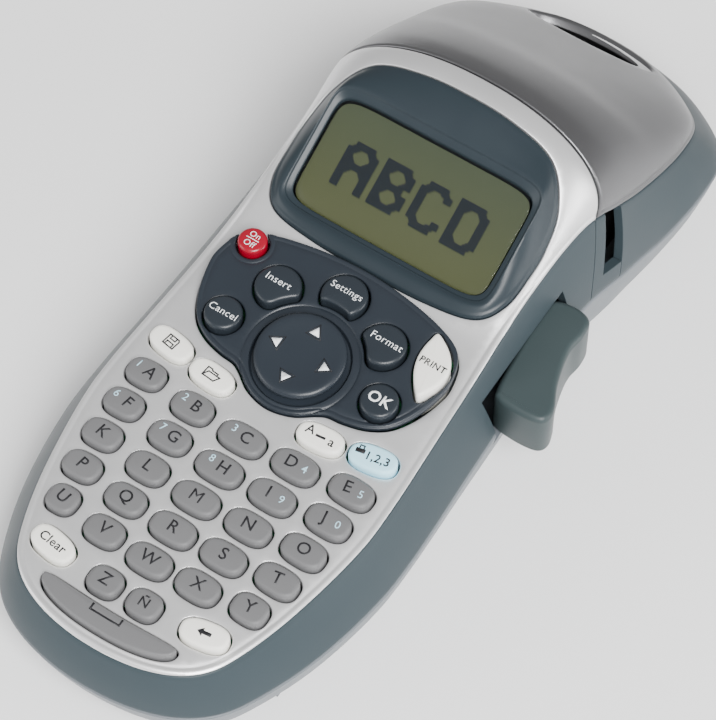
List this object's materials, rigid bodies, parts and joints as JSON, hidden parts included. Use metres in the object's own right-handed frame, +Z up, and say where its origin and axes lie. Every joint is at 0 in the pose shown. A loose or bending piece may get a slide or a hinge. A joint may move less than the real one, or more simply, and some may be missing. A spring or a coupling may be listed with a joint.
{
  "type": "handheld label maker",
  "caption": "Handheld electronic label maker with a keyboard grip, tilted display, side cutter lever and a hinged cover over the tape cassette.",
  "frame": {"origin": "centre of the product's box on the table, under the flat back it rests on", "axes": "+Y along the product from the battery end to the cassette head, +X towards the cutter lever's side, +Z up out of the keypad side"},
  "size_m": [0.0864, 0.2068, 0.0619],
  "materials": {
    "silver_face": "satin silver paint on ABS",
    "grey_green_housing": "fine satin texture",
    "rear_grey": "fine satin texture",
    "slate_plate": "smooth satin",
    "gloss_bezel": "gloss",
    "clear_lens": "clear gloss",
    "lcd_glass": "olive green liquid crystal glass",
    "circuit_board": "green solder resist",
    "cassette_black": "satin",
    "steel": "ground",
    "black_rubber": "matte",
    "gear_white": "acetal, satin",
    "key_grey": "matte silicone",
    "key_cream": "matte silicone",
    "key_blue": "matte silicone",
    "key_slate": "matte silicone",
    "key_red": "matte silicone"
  },
  "bodies": {
    "housing": {"rear_housing": "rear_grey", "front_housing": "grey_green_housing", "face_plate": "silver_face", "control_plate": "slate_plate", "display_bezel": "gloss_bezel", "display_lens": "clear_lens", "lcd_module": "lcd_glass", "main_board": "circuit_board", "tape_cassette": "cassette_black", "print_head": "steel"},
    "key_a": {"key_a": "key_grey"},
    "key_b": {"key_b": "key_grey"},
    "key_c": {"key_c": "key_grey"},
    "key_d": {"key_d": "key_grey"},
    "key_e": {"key_e": "key_grey"},
    "key_f": {"key_f": "key_grey"},
    "key_g": {"key_g": "key_grey"},
    "key_h": {"key_h": "key_grey"},
    "key_i": {"key_i": "key_grey"},
    "key_j": {"key_j": "key_grey"},
    "key_k": {"key_k": "key_grey"},
    "key_l": {"key_l": "key_grey"},
    "key_m": {"key_m": "key_grey"},
    "key_n": {"key_n": "key_grey"},
    "key_o": {"key_o": "key_grey"},
    "key_p": {"key_p": "key_grey"},
    "key_q": {"key_q": "key_grey"},
    "key_r": {"key_r": "key_grey"},
    "key_s": {"key_s": "key_grey"},
    "key_t": {"key_t": "key_grey"},
    "key_u": {"key_u": "key_grey"},
    "key_v": {"key_v": "key_grey"},
    "key_w": {"key_w": "key_grey"},
    "key_x": {"key_x": "key_grey"},
    "key_y": {"key_y": "key_grey"},
    "key_z": {"key_z": "key_grey"},
    "key_n_tilde": {"key_n_tilde": "key_grey"},
    "key_clear": {"key_clear": "key_cream"},
    "key_backspace": {"key_backspace": "key_cream"},
    "key_save": {"key_save": "key_cream"},
    "key_recall": {"key_recall": "key_cream"},
    "key_caps": {"key_caps": "key_cream"},
    "key_num_lock": {"key_num_lock": "key_blue"},
    "key_space": {"key_space": "key_grey"},
    "key_cancel": {"key_cancel": "key_slate"},
    "key_ok": {"key_ok": "key_slate"},
    "key_power": {"key_power": "key_red"},
    "key_insert": {"key_insert": "key_slate"},
    "key_format": {"key_format": "key_slate"},
    "key_settings": {"key_settings": "key_slate"},
    "key_print": {"key_print": "key_cream"},
    "nav_boss": {"nav_boss": "black_rubber"},
    "nav_disc": {"nav_disc": "slate_plate"},
    "cover": {"cassette_cover": "grey_green_housing", "cover_panel": "silver_face"},
    "cutter_lever": {"cutter_lever": "grey_green_housing"},
    "cutter_blade": {"cutter_blade": "steel"},
    "battery_door": {"battery_door": "rear_grey"},
    "drive_gear": {"drive_gear": "gear_white"},
    "platen_roller": {"platen_roller": "black_rubber"}
  },
  "joints": [
    {"name": "key_a_press", "type": "slide", "parent": "housing", "child": "key_a", "axis": [0, 0.1305, -0.9914], "range_m": [0, 0.0008], "stiffness_N_per_m": 1800},
    {"name": "key_b_press", "type": "slide", "parent": "housing", "child": "key_b", "axis": [0, 0.1305, -0.9914], "range_m": [0, 0.0008], "stiffness_N_per_m": 1800},
    {"name": "key_c_press", "type": "slide", "parent": "housing", "child": "key_c", "axis": [0, 0.1305, -0.9914], "range_m": [0, 0.0008], "stiffness_N_per_m": 1800},
    {"name": "key_d_press", "type": "slide", "parent": "housing", "child": "key_d", "axis": [0, 0.1305, -0.9914], "range_m": [0, 0.0008], "stiffness_N_per_m": 1800},
    {"name": "key_e_press", "type": "slide", "parent": "housing", "child": "key_e", "axis": [0, 0.1305, -0.9914], "range_m": [0, 0.0008], "stiffness_N_per_m": 1800},
    {"name": "key_f_press", "type": "slide", "parent": "housing", "child": "key_f", "axis": [0, 0.1305, -0.9914], "range_m": [0, 0.0008], "stiffness_N_per_m": 1800},
    {"name": "key_g_press", "type": "slide", "parent": "housing", "child": "key_g", "axis": [0, 0.1305, -0.9914], "range_m": [0, 0.0008], "stiffness_N_per_m": 1800},
    {"name": "key_h_press", "type": "slide", "parent": "housing", "child": "key_h", "axis": [0, 0.1305, -0.9914], "range_m": [0, 0.0008], "stiffness_N_per_m": 1800},
    {"name": "key_i_press", "type": "slide", "parent": "housing", "child": "key_i", "axis": [0, 0.1305, -0.9914], "range_m": [0, 0.0008], "stiffness_N_per_m": 1800},
    {"name": "key_j_press", "type": "slide", "parent": "housing", "child": "key_j", "axis": [0, 0.1305, -0.9914], "range_m": [0, 0.0008], "stiffness_N_per_m": 1800},
    {"name": "key_k_press", "type": "slide", "parent": "housing", "child": "key_k", "axis": [0, 0.1305, -0.9914], "range_m": [0, 0.0008], "stiffness_N_per_m": 1800},
    {"name": "key_l_press", "type": "slide", "parent": "housing", "child": "key_l", "axis": [0, 0.1305, -0.9914], "range_m": [0, 0.0008], "stiffness_N_per_m": 1800},
    {"name": "key_m_press", "type": "slide", "parent": "housing", "child": "key_m", "axis": [0, 0.1305, -0.9914], "range_m": [0, 0.0008], "stiffness_N_per_m": 1800},
    {"name": "key_n_press", "type": "slide", "parent": "housing", "child": "key_n", "axis": [0, 0.1305, -0.9914], "range_m": [0, 0.0008], "stiffness_N_per_m": 1800},
    {"name": "key_o_press", "type": "slide", "parent": "housing", "child": "key_o", "axis": [0, 0.1305, -0.9914], "range_m": [0, 0.0008], "stiffness_N_per_m": 1800},
    {"name": "key_p_press", "type": "slide", "parent": "housing", "child": "key_p", "axis": [0, 0.1305, -0.9914], "range_m": [0, 0.0008], "stiffness_N_per_m": 1800},
    {"name": "key_q_press", "type": "slide", "parent": "housing", "child": "key_q", "axis": [0, 0.1305, -0.9914], "range_m": [0, 0.0008], "stiffness_N_per_m": 1800},
    {"name": "key_r_press", "type": "slide", "parent": "housing", "child": "key_r", "axis": [0, 0.1305, -0.9914], "range_m": [0, 0.0008], "stiffness_N_per_m": 1800},
    {"name": "key_s_press", "type": "slide", "parent": "housing", "child": "key_s", "axis": [0, 0.1305, -0.9914], "range_m": [0, 0.0008], "stiffness_N_per_m": 1800},
    {"name": "key_t_press", "type": "slide", "parent": "housing", "child": "key_t", "axis": [0, 0.1305, -0.9914], "range_m": [0, 0.0008], "stiffness_N_per_m": 1800},
    {"name": "key_u_press", "type": "slide", "parent": "housing", "child": "key_u", "axis": [0, 0.1305, -0.9914], "range_m": [0, 0.0008], "stiffness_N_per_m": 1800},
    {"name": "key_v_press", "type": "slide", "parent": "housing", "child": "key_v", "axis": [0, 0.1305, -0.9914], "range_m": [0, 0.0008], "stiffness_N_per_m": 1800},
    {"name": "key_w_press", "type": "slide", "parent": "housing", "child": "key_w", "axis": [0, 0.1305, -0.9914], "range_m": [0, 0.0008], "stiffness_N_per_m": 1800},
    {"name": "key_x_press", "type": "slide", "parent": "housing", "child": "key_x", "axis": [0, 0.1305, -0.9914], "range_m": [0, 0.0008], "stiffness_N_per_m": 1800},
    {"name": "key_y_press", "type": "slide", "parent": "housing", "child": "key_y", "axis": [0, 0.1305, -0.9914], "range_m": [0, 0.0008], "stiffness_N_per_m": 1800},
    {"name": "key_z_press", "type": "slide", "parent": "housing", "child": "key_z", "axis": [0, 0.1305, -0.9914], "range_m": [0, 0.0008], "stiffness_N_per_m": 1800},
    {"name": "key_n_tilde_press", "type": "slide", "parent": "housing", "child": "key_n_tilde", "axis": [0, 0.1305, -0.9914], "range_m": [0, 0.0008], "stiffness_N_per_m": 1800},
    {"name": "key_clear_press", "type": "slide", "parent": "housing", "child": "key_clear", "axis": [0, 0.1305, -0.9914], "range_m": [0, 0.0008], "stiffness_N_per_m": 1800},
    {"name": "key_backspace_press", "type": "slide", "parent": "housing", "child": "key_backspace", "axis": [0, 0.1305, -0.9914], "range_m": [0, 0.0008], "stiffness_N_per_m": 1800},
    {"name": "key_save_press", "type": "slide", "parent": "housing", "child": "key_save", "axis": [0, 0.1305, -0.9914], "range_m": [0, 0.0008], "stiffness_N_per_m": 1800},
    {"name": "key_recall_press", "type": "slide", "parent": "housing", "child": "key_recall", "axis": [0, 0.1305, -0.9914], "range_m": [0, 0.0008], "stiffness_N_per_m": 1800},
    {"name": "key_caps_press", "type": "slide", "parent": "housing", "child": "key_caps", "axis": [0, 0.1305, -0.9914], "range_m": [0, 0.0008], "stiffness_N_per_m": 1800},
    {"name": "key_num_lock_press", "type": "slide", "parent": "housing", "child": "key_num_lock", "axis": [0, 0.1305, -0.9914], "range_m": [0, 0.0008], "stiffness_N_per_m": 1800},
    {"name": "key_space_press", "type": "slide", "parent": "housing", "child": "key_space", "axis": [0, 0.1305, -0.9914], "range_m": [0, 0.0008], "stiffness_N_per_m": 1800},
    {"name": "key_cancel_press", "type": "slide", "parent": "housing", "child": "key_cancel", "axis": [0, 0.1305, -0.9914], "range_m": [0, 0.0008], "stiffness_N_per_m": 1800},
    {"name": "key_ok_press", "type": "slide", "parent": "housing", "child": "key_ok", "axis": [0, 0.1305, -0.9914], "range_m": [0, 0.0008], "stiffness_N_per_m": 1800},
    {"name": "key_power_press", "type": "slide", "parent": "housing", "child": "key_power", "axis": [0, 0.1305, -0.9914], "range_m": [0, 0.0008], "stiffness_N_per_m": 1800},
    {"name": "key_insert_press", "type": "slide", "parent": "housing", "child": "key_insert", "axis": [0, 0.1305, -0.9914], "range_m": [0, 0.0008], "stiffness_N_per_m": 1800},
    {"name": "key_format_press", "type": "slide", "parent": "housing", "child": "key_format", "axis": [0, 0.1305, -0.9914], "range_m": [0, 0.0008], "stiffness_N_per_m": 1800},
    {"name": "key_settings_press", "type": "slide", "parent": "housing", "child": "key_settings", "axis": [0, 0.1305, -0.9914], "range_m": [0, 0.0008], "stiffness_N_per_m": 1800},
    {"name": "key_print_press", "type": "slide", "parent": "housing", "child": "key_print", "axis": [0, 0.1305, -0.9914], "range_m": [0, 0.0008], "stiffness_N_per_m": 1800},
    {"name": "nav_up_down", "type": "hinge", "parent": "housing", "child": "nav_boss", "pos_m": [-0.004, -0.02738, 0.03348], "axis": [1, 0, 0], "range_deg": [-3, 3], "stiffness_Nm_per_rad": 0.2},
    {"name": "nav_left_right", "type": "hinge", "parent": "nav_boss", "child": "nav_disc", "pos_m": [-0.004, -0.02738, 0.03348], "axis": [0, 0.9914, 0.1305], "range_deg": [-3, 3], "stiffness_Nm_per_rad": 0.2},
    {"name": "cover_hinge", "type": "hinge", "parent": "housing", "child": "cover", "pos_m": [-0.004, 0.1037, 0.01311], "axis": [-1, 0, 0], "range_deg": [0, 75]},
    {"name": "cutter_lever_pivot", "type": "hinge", "parent": "housing", "child": "cutter_lever", "pos_m": [0.0295, 0.01327, 0.03883], "axis": [0, 0.1305, -0.9914], "range_deg": [0, 10], "stiffness_Nm_per_rad": 1.2},
    {"name": "cutter_blade_slide", "type": "slide", "parent": "housing", "child": "cutter_blade", "axis": [0, 0.9914, 0.1305], "range_m": [0, 0.0036]},
    {"name": "battery_door_slide", "type": "slide", "parent": "housing", "child": "battery_door", "axis": [0, -1, 0], "range_m": [0, 0.055]},
    {"name": "drive_gear_spin", "type": "hinge", "parent": "housing", "child": "drive_gear", "pos_m": [0.00063, 0.02978, 0.01326], "axis": [0, -0.1305, 0.9914], "continuous": true},
    {"name": "platen_roller_spin", "type": "hinge", "parent": "housing", "child": "platen_roller", "pos_m": [0.013, 0.04204, 0.01488], "axis": [0, -0.1305, 0.9914], "continuous": true}
  ],
  "couplings": [
    {"joint": "cutter_blade_slide", "follows": "cutter_lever_pivot", "m_per_rad": 0.02},
    {"joint": "platen_roller_spin", "follows": "drive_gear_spin", "ratio": -1.5}
  ]
}
